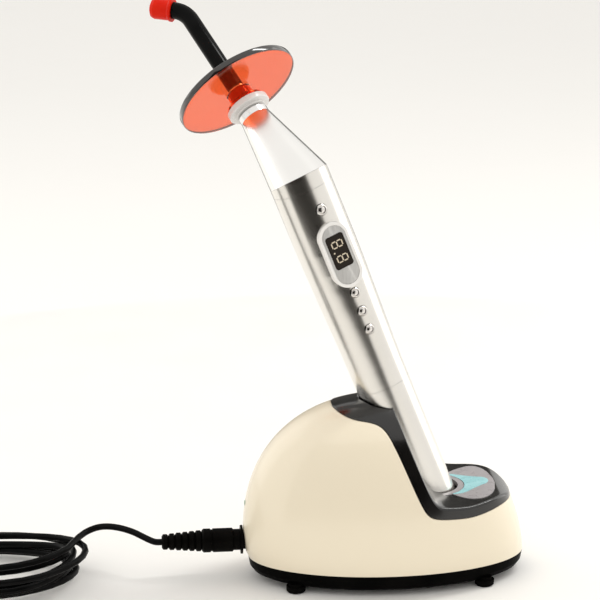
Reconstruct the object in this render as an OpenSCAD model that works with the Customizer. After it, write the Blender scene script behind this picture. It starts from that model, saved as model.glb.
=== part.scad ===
/* [Base] */
// Half length of the charging base at its widest line, to the rear
base_rear = 67.7; // [62:0.1:76]
// Width of the charging base at its widest line
base_wid = 73; // [68:0.5:86]
// Height of the hump above the table
hump_z = 88; // [84:0.5:98]
// Height of the base's widest line
belt_z = 20; // [17:0.5:24]
// Height of the joint between shell and tray
seam_z = 10.3; // [9:0.1:13]
// How far the front end leans back on its way up
front_lean = 6.9; // [5:0.1:9]
// Wall of the shell and the tray
shell_wall = 2.2; // [1.8:0.1:3]
// Height of the rubber feet
foot_h = 3; // [2:0.1:4]
// Diameter of a rubber foot
foot_d = 9; // [8:0.5:12]

/* [Cradle] */
// Height of the band that the insert shows above the shell
band_h = 5.3; // [4:0.1:7]
// Height of the dish floor
dish_z = 41.6; // [38:0.2:45]
// Diameter of the socket's mouth
mouth_d = 29.4; // [28.6:0.1:31]
// Diameter of the bright ring round the mouth
ring_d = 34.6; // [33:0.1:37]
// Gap round the handpiece's tail in the cup
tail_gap = 0.4; // [0.3:0.05:0.6]

/* [Handpiece] */
// Lean of the handpiece from upright
lean = 21.5; // [18:0.5:26]
// Turn of the display round the handpiece's axis
turn = 17; // [0:1:40]
// Diameter of the tail
tail_d = 25.6; // [24.4:0.1:26.4]
// Diameter of the head end of the tube
head_d = 28.4; // [27:0.1:32]
// Length of the tail section
tail_len = 74.5; // [72:0.5:84]
// Length of the tube between tail section and collar
tube_len = 101.8; // [99:0.1:122]
// Wall of the aluminium tubes
tube_wall = 1.4; // [1.2:0.1:1.8]
// Height of the neck collar along the axis
collar_h = 4.1; // [3.8:0.1:6]

/* [Nose] */
// Angle between the tube and the nose
bend = 38; // [30:1:44]
// Distance from the bend's centre to the nose tip
nose_len = 47.5; // [44:0.5:54]
// Diameter of the nose tip
nose_tip_d = 14.4; // [14:0.1:16]
// Length of the nose ring
nose_ring_h = 3.4; // [2.5:0.1:5]

/* [Light guide] */
// Diameter of the glass rod
rod_d = 8; // [7:0.1:8.4]
// Straight length of the rod beyond the shield disc
rod_reach = 43; // [36:0.5:52]
// Bend of the rod
rod_bend = 46.5; // [30:0.5:60]
// Radius of the rod's bend
rod_bend_r = 13; // [10:0.5:18]
// Straight length after the bend
rod_tip = 10; // [8.5:0.5:16]
// Turn of the guide in the nose
guide_turn = -109; // [-180:1:180]
// Diameter of the ferrule's collar
ferrule_d = 20.8; // [18:0.1:23]
// Diameter of the shield disc
shield_d = 60; // [50:1:72]
// Thickness of the shield disc
shield_t = 3; // [2.4:0.1:4]
// Distance from the nose tip to the middle of the disc
shield_gap = 14.2; // [13.5:0.1:18]
// Outer diameter of the tip cap
cap_d = 10; // [9.8:0.1:11.5]
// Length of the tip cap
cap_len = 11; // [10.5:0.1:14]

/* [Controls] */
// Length of the display bezel
bezel_len = 32; // [30:0.5:34]
// Width of the display bezel
bezel_wid = 14.4; // [13.6:0.1:15.6]
// Place of the display along the handpiece
display_at = 143.2; // [142:0.1:145]
// Place of the trigger button along the handpiece
trigger_at = 166; // [164:0.1:168]
// Diameter of the trigger button
trigger_d = 5.2; // [4.6:0.1:5.6]
// Place of the first small button along the handpiece
button_at = 123.6; // [121:0.1:124]
// Distance between the small buttons
button_pitch = 9.5; // [8:0.1:10]
// Diameter of a small button
button_d = 4.6; // [4:0.1:5]
// Gap round a button
button_gap = 0.3; // [0.25:0.05:0.4]

/* [Lead] */
// Diameter of the lead
cord_d = 3.1; // [2.8:0.1:4]
// Height of the plug's axis
plug_z = 18.2; // [17:0.1:20]
// Diameter of the plug body
plug_d = 11.3; // [10.6:0.1:13]
// Mean diameter of the coil
coil_d = 82; // [78:1:88]
// Height of the coil
coil_h = 11.5; // [9:0.5:13]
// Length of the wall adapter
adapter_len = 50; // [44:1:60]
// Width of the wall adapter
adapter_wid = 42; // [36:1:50]
// Height of the wall adapter
adapter_h = 29; // [25:1:34]

/* [Hidden] */
$fn = 64;

hide = 0.01;              // overlap that makes a cut clean
ease_gap = 0.3;           // gap between the shell and what sits in it
part_gap = 0.1;           // joint line between two sections

// ---- base surface ----
half_wid = base_wid / 2;
base_front = base_rear - 1.7;
curve_power = 2.3;
tuck = 0.036;             // share that the shell draws in from its belt to the seam
hump_rise = hump_z - belt_z;
front_full = 0.7;         // how much squarer the front's outline gets on its way up
seat_x = 25.75;           // where the handpiece's axis meets the end of its tail
seat_z = 25;
slope_blend = 8;          // rounding between the slope and the dish
crown_blend = 11;         // rounding between the slope and the hump
crown_z = hump_z - 6.7;   // joint of shell and insert on the hump
beak_lift = 0.018;        // how fast that joint rises to its rear point
tip_x = base_front - 7.1; // front point of the insert
dish_lift = 1.6;          // how much the dish rises to the front
lip_drop = 4.2;           // how much its front lip falls again

function mix(a, b, t) = a + (b - a) * t;
function clamp01(t) = min(1, max(0, t));
function smooth(t) = let(u = clamp01(t)) u * u * (3 - 2 * u);
function soft_max(a, b, k) = (a + b + sqrt((a - b) * (a - b) + k * k)) / 2;
function soft_min(a, b, k) = (a + b - sqrt((a - b) * (a - b) + k * k)) / 2;

function draw_in(z, cut) =
    z < belt_z
        ? 1 - tuck * pow((belt_z - z) / (belt_z - seam_z), 2)
        : pow(max(0, 1 - pow((z - belt_z) / (hump_rise - cut), curve_power)), 1 / curve_power);
function rear_x(z, cut) = (base_rear - cut) * draw_in(z, cut);
function front_x(z, cut) =
    base_front - cut - front_lean * pow(max(0, (z - seam_z) / 28.6), 1.6);
function side_y(z, cut) = (half_wid - cut) * draw_in(z, cut);
function roundness(z, ahead) = ahead ? 2 + front_full * clamp01((z - seam_z) / 32) : 2;

// half the base's width at height z, over a place x
function half_y(x, z, cut = 0) =
    let(n = roundness(z, x > 0), a = x > 0 ? front_x(z, cut) : rear_x(z, cut))
    side_y(z, cut) * pow(max(0, 1 - pow(abs(x) / max(a, hide), n)), 1 / n);
function edge_point(z, turn_by, cut = 0, k = 1) =
    let(c = cos(turn_by), s = sin(turn_by), n = roundness(z, c > 0))
    let(a = c > 0 ? front_x(z, cut) : rear_x(z, cut))
    [k * sign(c) * a * pow(abs(c), 2 / n), k * side_y(z, cut) * sign(s) * pow(abs(s), 2 / n), z];

// the slope runs along the handpiece's axis, then eases into the dish
function slope_z(x, shift) = seat_z + (seat_x - shift - x) / tan(lean);
function dish(x) =
    dish_z + dish_lift * smooth((x - 34) / 16) - lip_drop * pow(clamp01((x - 50) / (tip_x - 49)), 2.2);
function band(x) = band_h * (1 - pow(clamp01((x - 36) / (tip_x - 35)), 4));
function top_z(x) = soft_max(slope_z(x, 0), dish(x), slope_blend);
function crown(x) = crown_z + beak_lift * pow(max(0, -13 - x), 2);
function joint_z(x) =
    soft_max(
        soft_min(slope_z(x, band_h / cos(lean)), crown(x), crown_blend),
        dish(x) - band(x),
        slope_blend
    );
function rim_z(turn_by, cut, lo = 22, hi = 87, n = 22) =
    let(m = (lo + hi) / 2)
    n == 0
        ? m
        : m < joint_z(edge_point(m, turn_by, cut)[0])
            ? rim_z(turn_by, cut, m, hi, n - 1)
            : rim_z(turn_by, cut, lo, m, n - 1);

// ---- solids from rings of points ----
module skin(rings, looped = false) {
    n = len(rings[0]);
    m = len(rings);
    sides = [
        for (j = [0 : m - (looped ? 1 : 2)], i = [0 : n - 1], half = [0, 1])
            let(a = j * n + i, b = j * n + (i + 1) % n)
            let(c = ((j + 1) % m) * n + (i + 1) % n, d = ((j + 1) % m) * n + i)
            half == 0 ? [a, c, b] : [a, d, c]
    ];
    caps = looped ? [] : [[for (i = [0 : n - 1]) i], [for (i = [n - 1 : -1 : 0]) (m - 1) * n + i]];
    polyhedron(points = [for (r = rings) each r], faces = concat(sides, caps), convexity = 10);
}

// ---- a tube along a route ----
function unit(v) = v / norm(v);
function along(p, i) = unit(p[min(i + 1, len(p) - 1)] - p[max(i - 1, 0)]);
function curve_at(p, i, t) =
    let(a = p[max(i - 1, 0)], b = p[i], c = p[i + 1], d = p[min(i + 2, len(p) - 1)])
    0.5 * (2 * b + (c - a) * t + (2 * a - 5 * b + 4 * c - d) * t * t
        + (3 * b - a - 3 * c + d) * t * t * t);
function smooth_route(p, steps) = concat(
    [for (i = [0 : len(p) - 2], s = [0 : steps - 1]) curve_at(p, i, s / steps)],
    [p[len(p) - 1]]
);
function ring_at(p, i, r, sides, up) =
    let(t = along(p, i), u = unit(cross(up, t)), v = cross(t, u))
    [for (k = [0 : sides - 1]) p[i] + r * (u * cos(360 * k / sides) + v * sin(360 * k / sides))];
module tube_along(p, r, sides = 8, up = [0, 0, 1]) {
    skin([for (i = [0 : len(p) - 1]) ring_at(p, i, r, sides, up)]);
}

// ---- outlines ----
function stadium(length, width) = [
    for (i = [0 : 35])
        let(a = 10 * i + 5)
        [width / 2 * cos(a), width / 2 * sin(a) + (sin(a) > 0 ? 1 : -1) * (length - width) / 2]
];
function round_box(x, y, r) = [
    for (q = [0 : 3], i = [0 : 4])
        let(a = 90 * q + 22.5 * i, sx = q == 0 || q == 3 ? 1 : -1, sy = q < 2 ? 1 : -1)
        [sx * (x / 2 - r) + r * cos(a), sy * (y / 2 - r) + r * sin(a)]
];
module slab(outline, z0, z1) {
    translate([0, 0, z0]) linear_extrude(z1 - z0) polygon(outline);
}
module disc(d, z0, z1) {
    translate([0, 0, z0]) cylinder(d = d, h = z1 - z0);
}
module turned(outline) {
    rotate_extrude() polygon(outline);
}
module at_corners(x, y) {
    for (i = [-1, 1], j = [-1, 1]) translate([i * x, j * y, 0]) children();
}

// ---- frames of the handpiece ----
// z along the handpiece from the end of its tail, display towards -y
module on_tube() {
    translate([seat_x, 0, seat_z]) rotate([0, -lean, 0]) rotate([0, 0, turn]) children();
}
// z outwards on the display side, y along the tube
module on_face(s) {
    on_tube() translate([0, 0, s]) rotate([90, 0, 0]) children();
}
// z along the nose, from the bend's centre
module on_nose() {
    on_tube() translate([0, 0, bend_s]) rotate([-bend, 0, 0]) children();
}
module on_guide() {
    on_nose() rotate([0, 0, guide_turn]) children();
}
// z along the tip of the rod, from the end of its bend
module on_tip() {
    on_guide() translate([0, -rod_bend_r, rod_end]) rotate([rod_bend, 0, 0])
        translate([0, rod_bend_r, 0]) children();
}

collar_s = tail_len + tube_len;
bend_s = collar_s - 3.1;         // where the nose's axis meets the tube's
mitre_s = collar_s + collar_h;   // middle of the slanted joint above the collar
mitre = 14;                      // slant of that joint
tail_r = tail_d / 2;
head_r = head_d / 2;
bore_r = tail_r - tube_wall;     // bore of the tail and of the tube's lower end
spigot_len = 8;
spigot_gap = 0.08;
swell_s = 80;                    // where the tube starts to swell
swell_len = 70;
shield_at = nose_len + shield_gap;
rod_end = shield_at + rod_reach; // where the rod's bend starts

function tube_r(s) = mix(tail_r, head_r, smooth((s - swell_s) / swell_len));

// ---- charging base ----
shell_sides = 96;
shell_rows = 13;
inner_rows = 6;
function shell_ring(t, cut) = [
    for (i = [0 : shell_sides - 1])
        let(a = 360 * i / shell_sides)
        edge_point(mix(seam_z, rim_z(a, cut), t), a, cut)
];

jack_bore = 9.4;   // hole through the shell
lamp_d = 3;
lamp_z = 36.5;
module through_rear(d, z) {
    translate([-base_rear - 5, 0, z]) rotate([0, 90, 0]) cylinder(d = d, h = 14);
}

module base_shell() {
    color("ivory") difference() {
        skin(concat(
            [for (j = [0 : shell_rows]) shell_ring(sin(90 * j / shell_rows), 0)],
            [for (j = [inner_rows : -1 : 0]) shell_ring(sin(90 * j / inner_rows), shell_wall)]
        ), looped = true);
        through_rear(jack_bore, plug_z);
        through_rear(lamp_d, lamp_z);
    }
}

tray_top = seam_z - part_gap;
tray_wall = 2;
tray_in = foot_h + tray_wall;
foot_x = 44.5;
foot_y = 23;
screw_x = 52;
screw_y = 9;
screw_d = 2.6;
board_x = -27;     // middle of the circuit board
board_z = 9;
post_x = 17;
post_y = 13;

function tray_ring(z, k, cut = 0) = [
    for (i = [0 : shell_sides - 1])
        let(p = edge_point(seam_z, 360 * i / shell_sides, cut, k))
        [p[0], p[1], z]
];

module base_tray() {
    color([0.09, 0.09, 0.1]) difference() {
        union() {
            skin([
                tray_ring(foot_h, 0.935),
                tray_ring(foot_h + 0.9, 0.965),
                tray_ring(foot_h + 3, 0.988),
                tray_ring(tray_top, 1),
                tray_ring(tray_top, 1, tray_wall),
                tray_ring(tray_in, 0.955, tray_wall)
            ]);
            translate([board_x, 0, 0]) at_corners(post_x, post_y) disc(5, foot_h + 1, board_z);
        }
        at_corners(foot_x, foot_y) disc(foot_d - 2.4, foot_h - 1, foot_h + 1.2);
        at_corners(screw_x, screw_y) disc(screw_d + 0.4, foot_h - 1, foot_h + 9);
        translate([board_x, 0, 0]) at_corners(post_x, post_y) disc(1.6, board_z - 3, board_z + 1);
    }
}

module tray_feet() {
    color([0.13, 0.13, 0.13]) at_corners(foot_x, foot_y) turned([
        [0, 0], [foot_d / 2 - 0.8, 0], [foot_d / 2, 0.8], [foot_d / 2, foot_h],
        [foot_d / 2 - 1.2, foot_h], [foot_d / 2 - 1.2, foot_h + 1.2], [0, foot_h + 1.2]
    ]);
}

module tray_screws() {
    color("silver") at_corners(screw_x, screw_y) difference() {
        union() {
            disc(4.8, foot_h - 1.1, foot_h);
            disc(screw_d, foot_h - 0.5, foot_h + 11);
        }
        for (a = [0, 90]) rotate(a) translate([-1.4, -0.35, foot_h - 1.5]) cube([2.8, 0.7, 1]);
    }
}

module ballast_plate() {
    color("slategray") translate([22, 0, tray_in]) difference() {
        slab(round_box(44, 44, 5), 0, 3);
        for (i = [-1, 1]) translate([i * 16, 0, 0]) disc(3.4, -1, 5);
    }
}

// ---- cradle insert ----
beak_x = -25.6;
insert_cols = 52;
insert_rows = 6;
function hump_at(x) =
    belt_z + hump_rise * pow(1 - pow(max(0, -x) / base_rear, curve_power), 1 / curve_power);
function insert_top(x) = soft_min(top_z(x), hump_at(x), 2);
// the sections lie closer together towards the round front
function insert_x(t) = mix(beak_x, tip_x, mix(t, sin(90 * t), 0.55));
function insert_section(x) =
    let(low = max(joint_z(x), joint_z(x - ease_gap)) + ease_gap, high = max(insert_top(x), low + 0.5))
    let(right = [
        for (j = [0 : insert_rows])
            let(z = mix(low, high, sin(90 * j / insert_rows)))
            [x, max(0.5 + (insert_rows - j) * 0.05, half_y(x, z)), z]
    ])
    concat([for (p = right) [p[0], -p[1], p[2]]], [for (j = [insert_rows : -1 : 0]) right[j]]);

module along_cup(d, z_top) {
    intersection() {
        on_tube() disc(d, -30, 60);
        translate([seat_x - 40, -30, z_top - 60]) cube([80, 60, 60]);
    }
}

module cradle_insert() {
    color([0.1, 0.1, 0.11]) difference() {
        skin([for (i = [0 : insert_cols]) insert_section(insert_x(i / insert_cols))]);
        on_tube() disc(tail_d + 1.6, -6, 120);
        along_cup(ring_d + 0.3, ring_top);
    }
}

// ---- dish label ----
label_from = 30;
label_to = 52;
label_mid = 42.5;  // where the label is widest
label_wid = 45;
label_cols = 16;
label_t = 0.35;
function label_half(x, in) =
    x > label_mid
        ? (label_wid / 2 - in) * sqrt(max(0, 1 - pow((x - label_mid) / (label_to - label_mid - in), 2)))
        : mix(12, label_wid / 2, sin(90 * (x - label_from + 2) / (label_mid - label_from + 2))) - in;
function motif_half(x) = mix(14.5, 4.5, smooth((x - 31) / 18)) * sqrt(clamp01((49.4 - x) / 2));
module sheet(x0, x1, widths, low, high) {
    skin([
        for (i = [0 : label_cols])
            let(x = mix(x0, x1, i / label_cols), w = max(0.3, widths[i]), z = insert_top(x))
            [[x, -w, z + low], [x, -w, z + high], [x, w, z + high], [x, w, z + low]]
    ]);
}
module clear_of_ring() {
    difference() {
        children();
        on_tube() disc(ring_d + 0.6, -30, 60);
    }
}

module dish_label() {
    color("silver") clear_of_ring() sheet(
        label_from, label_to - 0.1,
        [for (i = [0 : label_cols]) label_half(mix(label_from, label_to - 0.1, i / label_cols), 0)],
        0.03, 0.03 + label_t
    );
}

module label_motif() {
    color([0.66, 0.88, 0.9]) clear_of_ring() sheet(
        label_from + 0.5, 49.2,
        [for (i = [0 : label_cols]) motif_half(mix(label_from + 0.5, 49.2, i / label_cols))],
        0.05 + label_t, 0.15 + label_t
    );
}

// ---- socket ----
ring_top = dish_z + 0.9;
cup_t = 1.4;
cup_floor = 2.2;
module socket_ring() {
    color("silver") difference() {
        along_cup(ring_d, ring_top);
        along_cup(mouth_d, ring_top + 5);
        translate([seat_x - 50, -40, ring_top - 64]) cube([100, 80, 60]);
        on_tube() translate([-30, -30, -40]) cube([60, 60, 42]);
    }
}

module socket_cup() {
    color([0.12, 0.12, 0.13]) difference() {
        union() {
            along_cup(tail_d + 2 * (tail_gap + cup_t), dish_z - 2);
        }
        on_tube() disc(tail_d + 2 * tail_gap, -0.2, 80);
        on_tube() disc(18.2, -10, 5);
        on_tube() translate([-30, -30, -60]) cube([60, 60, 60 - 0.2 - cup_floor]);
    }
}

pin_d = 1.9;
pin_fit = 0.08;
pin_side = 7;      // distance of the outer pin from the middle
pin_up = 0.35;     // how far the pins stand above the tail's end face
pin_len = 7;
module pins_at(kind) {
    on_tube() translate([0, kind * pin_side, 0]) children();
}
module contact_block() {
    color([0.2, 0.2, 0.22]) difference() {
        on_tube() union() {
            disc(18, -9.5, -0.5);
            disc(22, -9.5, -cup_floor - 0.4);
        }
        for (kind = [0, 1]) pins_at(kind) disc(pin_d + 2 * pin_fit, -8.5, 5);
    }
}
module charge_pin(kind) {
    color("gold") pins_at(kind) turned([
        [0, pin_up - pin_len], [pin_d / 2, pin_up - pin_len], [pin_d / 2, pin_up - 0.4],
        [pin_d / 2 - 0.4, pin_up], [0, pin_up]
    ]);
}
module charge_pin_centre() {
    charge_pin(0);
}
module charge_pin_side() {
    charge_pin(1);
}

// ---- electronics of the base ----
board_t = 1.6;
module base_board() {
    color("darkgreen") translate([board_x, 0, 0]) difference() {
        slab(round_box(42, 32, 2), board_z, board_z + board_t);
        at_corners(post_x, post_y) disc(2.4, board_z - 1, board_z + 5);
    }
}

module board_chips() {
    color([0.15, 0.15, 0.16]) translate([board_x, 0, board_z + board_t]) {
        translate([-8, -5, 0]) cube([9, 9, 1.6]);
        translate([6, -7, 0]) cube([5, 4, 1.2]);
        translate([6, 4, 0]) cube([4, 6, 2]);
        translate([-17, -3, 0]) cube([5, 6, 3]);
        for (i = [0 : 2]) translate([4 + 4.5 * i, 0, 0]) cylinder(d = 3.4, h = 5);
    }
}

module board_screws() {
    color("silver") translate([board_x, 0, 0]) at_corners(post_x, post_y) {
        disc(4, board_z + board_t, board_z + board_t + 1.2);
    }
}

jack_d = 13.6;
jack_tip = -base_rear - 1.2;
module along_x(x, z) {
    translate([x, 0, z]) rotate([0, 90, 0]) children();
}
module dc_jack() {
    color([0.08, 0.08, 0.09]) along_x(jack_tip, plug_z) {
        difference() {
            union() {
                disc(jack_d, 0, 1);
                disc(jack_bore - 0.2, 0.5, 15);
            }
            disc(5.8, -1, 11);
        }
        disc(2, 1, 12);
    }
}

module charge_lamp() {
    color("lightgreen") along_x(-base_rear * draw_in(lamp_z, 0) - 0.4, lamp_z) turned([
        [0, 0], [0.9, 0], [lamp_d / 2 - 0.05, 0.6], [lamp_d / 2 - 0.05, 5], [0, 5]
    ]);
}

// ---- lead ----
plug_len = 15.2;
relief_len = 18.9;
plug_x = jack_tip - 3.1;        // face of the plug body
relief_x = plug_x - plug_len;
exit_x = relief_x - relief_len;

module plug_barrel() {
    color("silver") along_x(plug_x, plug_z) difference() {
        disc(5.5, 0, 12);
        disc(2.3, 2, 13);
    }
}

module plug_body() {
    r = plug_d / 2;
    color([0.07, 0.07, 0.08]) along_x(relief_x, plug_z) difference() {
        turned([
            [0, 0], [r - 0.8, 0], [r, 0.8], [r, 4], [r - 0.5, 4.3], [r - 0.5, 5], [r, 5.3],
            [r, plug_len - 0.8], [r - 0.8, plug_len], [5, plug_len], [5, plug_len + 3], [0, plug_len + 3]
        ]);
        disc(5.5, plug_len, plug_len + 5);
    }
}

relief_ribs = 6;
module plug_relief() {
    pitch = relief_len / relief_ribs;
    color([0.07, 0.07, 0.08]) along_x(exit_x, plug_z) turned(concat(
        [[0, 0]],
        [for (i = [0 : relief_ribs - 1], e = [0 : 3])
            let(r = mix(3.7, 5, i / (relief_ribs - 1)))
            [e == 0 || e == 3 ? r - 0.9 : r, pitch * (i + [0, 0.22, 0.78, 1][e])]],
        [[0, relief_len]]
    ));
}

coil_x = -188;
coil_y = 10;
coil_w = 11;       // width of the coil's bundle
cord_r = cord_d / 2;
coil_in = coil_d / 2 - coil_w / 2;
lead_route = [
    [exit_x - 0.1, 0, plug_z], [exit_x - 3, 0.15, plug_z + 0.1], [-112.5, 2.5, 18.9],
    [-120, 9.5, 20], [-128, 16, 20], [-135, 20.5, 19], [-141, 22.5, 17],
    [-146, 21, coil_h + 0.3 + cord_r], [-149, 15, coil_h + 0.3 + cord_r]
];
adapter_x = -262;  // face of the adapter that its cord leaves
adapter_y = 24;
relief2_len = 14;
relief_z = 6;      // height of the cord where the adapter takes it
tail_route = [
    [-236.4, 2, relief_z], [-236.4, 9, relief_z], [-237.8, 15.5, relief_z], [-240.8, 21, relief_z],
    [adapter_x + relief2_len + 3, adapter_y - 0.2, relief_z],
    [adapter_x + relief2_len + 0.1, adapter_y, relief_z]
];

module cord_lead() {
    color([0.06, 0.06, 0.07]) tube_along(smooth_route(lead_route, 3), cord_r);
}

module cord_coil() {
    color([0.06, 0.06, 0.07]) translate([coil_x, coil_y, 0]) turned([
        [coil_in + 2, 0.1], [coil_in + coil_w - 2, 0.1], [coil_in + coil_w, 2.1],
        [coil_in + coil_w, coil_h - 2], [coil_in + coil_w - 2, coil_h],
        [coil_in + 2, coil_h], [coil_in, coil_h - 2], [coil_in, 2.1]
    ]);
}

module cord_tail() {
    color([0.06, 0.06, 0.07]) tube_along(smooth_route(tail_route, 3), cord_r);
}

// ---- wall adapter ----
pin_gap = 19;
mains_pin_d = 4;
mains_pin_len = 19;
pin_root_d = 3;    // the pins are thinner inside the cover
cover_t = 7;
module on_adapter() {
    translate([adapter_x, adapter_y, adapter_h / 2]) rotate([0, -90, 0]) children();
}

module adapter_relief() {
    color([0.07, 0.07, 0.08]) translate([adapter_x, adapter_y, relief_z]) rotate([0, 90, 0])
        turned([[0, 0], [4.2, 0], [2.6, relief2_len], [0, relief2_len]]);
}

module adapter_case() {
    color([0.08, 0.08, 0.09]) on_adapter()
        slab(round_box(adapter_h, adapter_wid, 4), 0, adapter_len - cover_t - part_gap);
}

module adapter_cover() {
    color([0.1, 0.1, 0.11]) on_adapter() difference() {
        slab(round_box(adapter_h, adapter_wid, 4), adapter_len - cover_t, adapter_len);
        for (j = [-1, 1]) translate([0, j * pin_gap / 2, 0])
            disc(pin_root_d, adapter_len - cover_t + 2, adapter_len + 1);
    }
}

module adapter_pins() {
    color("silver") on_adapter() for (j = [-1, 1]) translate([0, j * pin_gap / 2, 0]) turned([
        [0, adapter_len - cover_t + 2], [pin_root_d / 2 - 0.05, adapter_len - cover_t + 2],
        [pin_root_d / 2 - 0.05, adapter_len + 0.02], [mains_pin_d / 2, adapter_len + 0.02],
        [mains_pin_d / 2, adapter_len + mains_pin_len - 1],
        [mains_pin_d / 2 - 1, adapter_len + mains_pin_len], [0, adapter_len + mains_pin_len]
    ]);
}

// ---- tail section ----
spigot_r = bore_r - spigot_gap;
spigot_in = spigot_r - 1.6;
seal_s = tail_len + 5;
insulator_t = 3;
module tail_sleeve() {
    color("silver") on_tube() turned([
        [bore_r, 0], [tail_r - 1, 0], [tail_r - 0.3, 0.3], [tail_r, 1],
        [tail_r, tail_len - part_gap], [spigot_r, tail_len - part_gap],
        [spigot_r, seal_s - 0.8], [spigot_r - 0.7, seal_s - 0.8],
        [spigot_r - 0.7, seal_s + 0.8], [spigot_r, seal_s + 0.8],
        [spigot_r, tail_len + spigot_len - 0.5], [spigot_r - 0.5, tail_len + spigot_len],
        [spigot_in, tail_len + spigot_len], [spigot_in, tail_len - 2],
        [bore_r, tail_len - 3.5]
    ]);
}

module tail_seal() {
    color([0.15, 0.15, 0.15]) on_tube() rotate_extrude()
        translate([spigot_r - 0.35, seal_s]) circle(r = 0.34, $fn = 16);
}

pad_z = 0.4;       // recess of the contacts in the tail's end
pad_t = 0.6;
pad_d = 7;
pad_ring_w = 4;
module tail_insulator() {
    color([0.1, 0.1, 0.11]) on_tube() difference() {
        disc(2 * bore_r, 0, insulator_t);
        disc(pad_d, -1, pad_z + pad_t);
        difference() {
            disc(2 * pin_side + pad_ring_w, -1, pad_z + pad_t);
            disc(2 * pin_side - pad_ring_w, -2, 3);
        }
    }
}

module tail_contacts() {
    color("gold") on_tube() {
        disc(pad_d, pad_z, pad_z + pad_t);
        difference() {
            disc(2 * pin_side + pad_ring_w, pad_z, pad_z + pad_t);
            disc(2 * pin_side - pad_ring_w, pad_z - 1, 3);
        }
    }
}

cell_d = 18.3;
cell_len = 65;
cell_s = insulator_t + 5;
module battery() {
    color("teal") on_tube() turned([
        [0, cell_s], [cell_d / 2 - 0.6, cell_s], [cell_d / 2, cell_s + 0.6],
        [cell_d / 2, cell_s + cell_len - 0.6], [cell_d / 2 - 0.6, cell_s + cell_len],
        [3, cell_s + cell_len], [3, cell_s + cell_len + 1], [0, cell_s + cell_len + 1]
    ]);
}

spring_turns = 3;
spring_steps = 12;
module battery_spring() {
    color("silver") on_tube() tube_along([
        for (i = [0 : spring_turns * spring_steps])
            let(u = i / (spring_turns * spring_steps), a = 360 * i / spring_steps, r = mix(7, 4, u))
            [r * cos(a), r * sin(a), mix(insulator_t + 0.5, cell_s - 0.5, u)]
    ], 0.4, 6);
}

// ---- tube of the handpiece ----
tube_steps = 10;
function tube_line(inner, s0, s1) = [
    for (i = [0 : tube_steps])
        let(s = mix(s0, s1, i / tube_steps))
        [tube_r(s) - inner, s]
];
function turned_round(p) = [for (i = [len(p) - 1 : -1 : 0]) p[i]];
bore_end = tail_len + spigot_len + 1;

module body_tube() {
    color("silver") difference() {
        on_tube() turned(concat(
            tube_line(0, tail_len, collar_s - part_gap),
            turned_round(tube_line(tube_wall, bore_end + 1, collar_s - part_gap)),
            [[bore_r, bore_end], [bore_r, tail_len]]
        ));
        on_face(display_at) slab(stadium(bezel_len + 0.1, bezel_wid + 0.1), 6, 20);
        for (b = [-1 : 2]) on_face(control_s(b)) disc(control_d(b) + 2 * button_gap, 6, 20);
    }
}

module slant(up) {
    on_tube() translate([0, 0, mitre_s]) rotate([-mitre, 0, 0])
        translate([-30, -30, up > 0 ? 0 : -60]) cube([60, 60, 60]);
}

module neck_collar() {
    color("silver") difference() {
        on_tube() disc(head_d, collar_s, collar_s + 20);
        on_tube() disc(head_d - 2 * tube_wall - 0.6, collar_s - 1, collar_s + 30);
        slant(1);
    }
}

// the cone runs from the slanted joint to the nose ring
cone_sides = 60;
cone_rows = 6;
cone_top = nose_len - nose_ring_h - part_gap;
function to_nose(p) = [
    p[0],
    p[1] * cos(bend) - (p[2] - bend_s) * sin(bend),
    p[1] * sin(bend) + (p[2] - bend_s) * cos(bend)
];
function cone_foot(a, r) = to_nose([
    r * cos(a), r * sin(a), mitre_s + part_gap - r * sin(a) * tan(mitre)
]);
function cone_head(a, r, z) = [r * cos(a), r * sin(a), z];
function cone_ring(t, cut) = [
    for (i = [0 : cone_sides - 1])
        let(a = 360 * i / cone_sides)
        mix(cone_foot(a, head_r - cut), cone_head(a, nose_tip_d / 2 + 0.05 - cut * 0.6, cone_top), t)
];
module nose_cone() {
    color("silver") on_nose() skin(concat(
        [for (j = [0 : cone_rows]) cone_ring(j / cone_rows, 0)],
        [for (j = [cone_rows : -1 : 0]) cone_ring(j / cone_rows, tube_wall)]
    ), looped = true);
}

clip_d = 11;
clip_fit = 0.08;
rod_fit = 0.06;
sleeve_d = nose_tip_d - 2 * 0.6 * tube_wall - 0.7;
sleeve_s = nose_len - 10;
module nose_ring() {
    color("silver") on_nose() difference() {
        union() {
            turned([
                [0, nose_len - nose_ring_h], [nose_tip_d / 2, nose_len - nose_ring_h],
                [nose_tip_d / 2, nose_len - 0.5], [nose_tip_d / 2 - 0.5, nose_len], [0, nose_len]
            ]);
            disc(sleeve_d, sleeve_s, nose_len - 1);
        }
        disc(clip_d + 2 * clip_fit, sleeve_s - 1, nose_len + 1);
    }
}

// ---- display ----
face_z = head_r + 1.5;     // height of the bezel's face above the tube's axis
panel_gap = 0.15;
panel_len = bezel_len - 3.4;
panel_wid = bezel_wid - 3;
window_len = 16;
window_wid = 9;
window_at = 1.9;
window_t = 1.2;
module display_bezel() {
    color("white") on_face(display_at) difference() {
        slab(stadium(bezel_len, bezel_wid), head_r - 3.4, face_z);
        slab(stadium(panel_len + 2 * panel_gap, panel_wid + 2 * panel_gap), face_z - 0.6, face_z + 1);
        translate([0, window_at, 0]) slab(round_box(window_wid, window_len, 1.2), 5, face_z + 1);
    }
}

module display_panel() {
    color("silver") on_face(display_at) difference() {
        slab(stadium(panel_len, panel_wid), face_z - 0.6, face_z - 0.15);
        translate([0, window_at, 0])
            slab(round_box(window_wid + 0.2, window_len + 0.2, 1.3), 5, face_z + 1);
    }
}

module display_window() {
    color([0.03, 0.03, 0.03]) on_face(display_at) translate([0, window_at, 0])
        slab(round_box(window_wid - 0.1, window_len - 0.1, 1.15), face_z - window_t, face_z - 0.05);
}

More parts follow.
